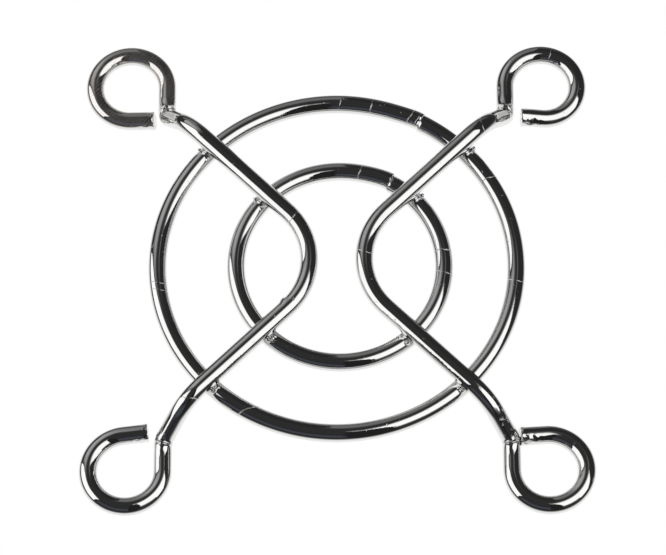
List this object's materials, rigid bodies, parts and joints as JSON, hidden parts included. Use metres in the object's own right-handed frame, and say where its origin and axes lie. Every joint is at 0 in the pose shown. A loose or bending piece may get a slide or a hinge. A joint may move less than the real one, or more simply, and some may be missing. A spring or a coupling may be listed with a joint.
{
  "type": "wire fan guard",
  "caption": "Round wire finger guard for a small square axial fan: two rings under two bowed struts that end in screw eyes, all spot-welded and bright plated.",
  "frame": {"origin": "middle of the square of screw eyes, on the face that lies against the fan", "axes": "+Z away from the fan, +X to the right strut, +Y to the guard's back"},
  "size_m": [0.039, 0.039, 0.0046],
  "materials": {
    "outer_ring": "bright chrome plate on steel wire",
    "inner_ring": "bright chrome plate on steel wire",
    "left_strut": "bright chrome plate on steel wire",
    "right_strut": "bright chrome plate on steel wire"
  },
  "bodies": {
    "root": {"outer_ring": "outer_ring", "inner_ring": "inner_ring", "left_strut": "left_strut", "right_strut": "right_strut"}
  },
  "joints": []
}
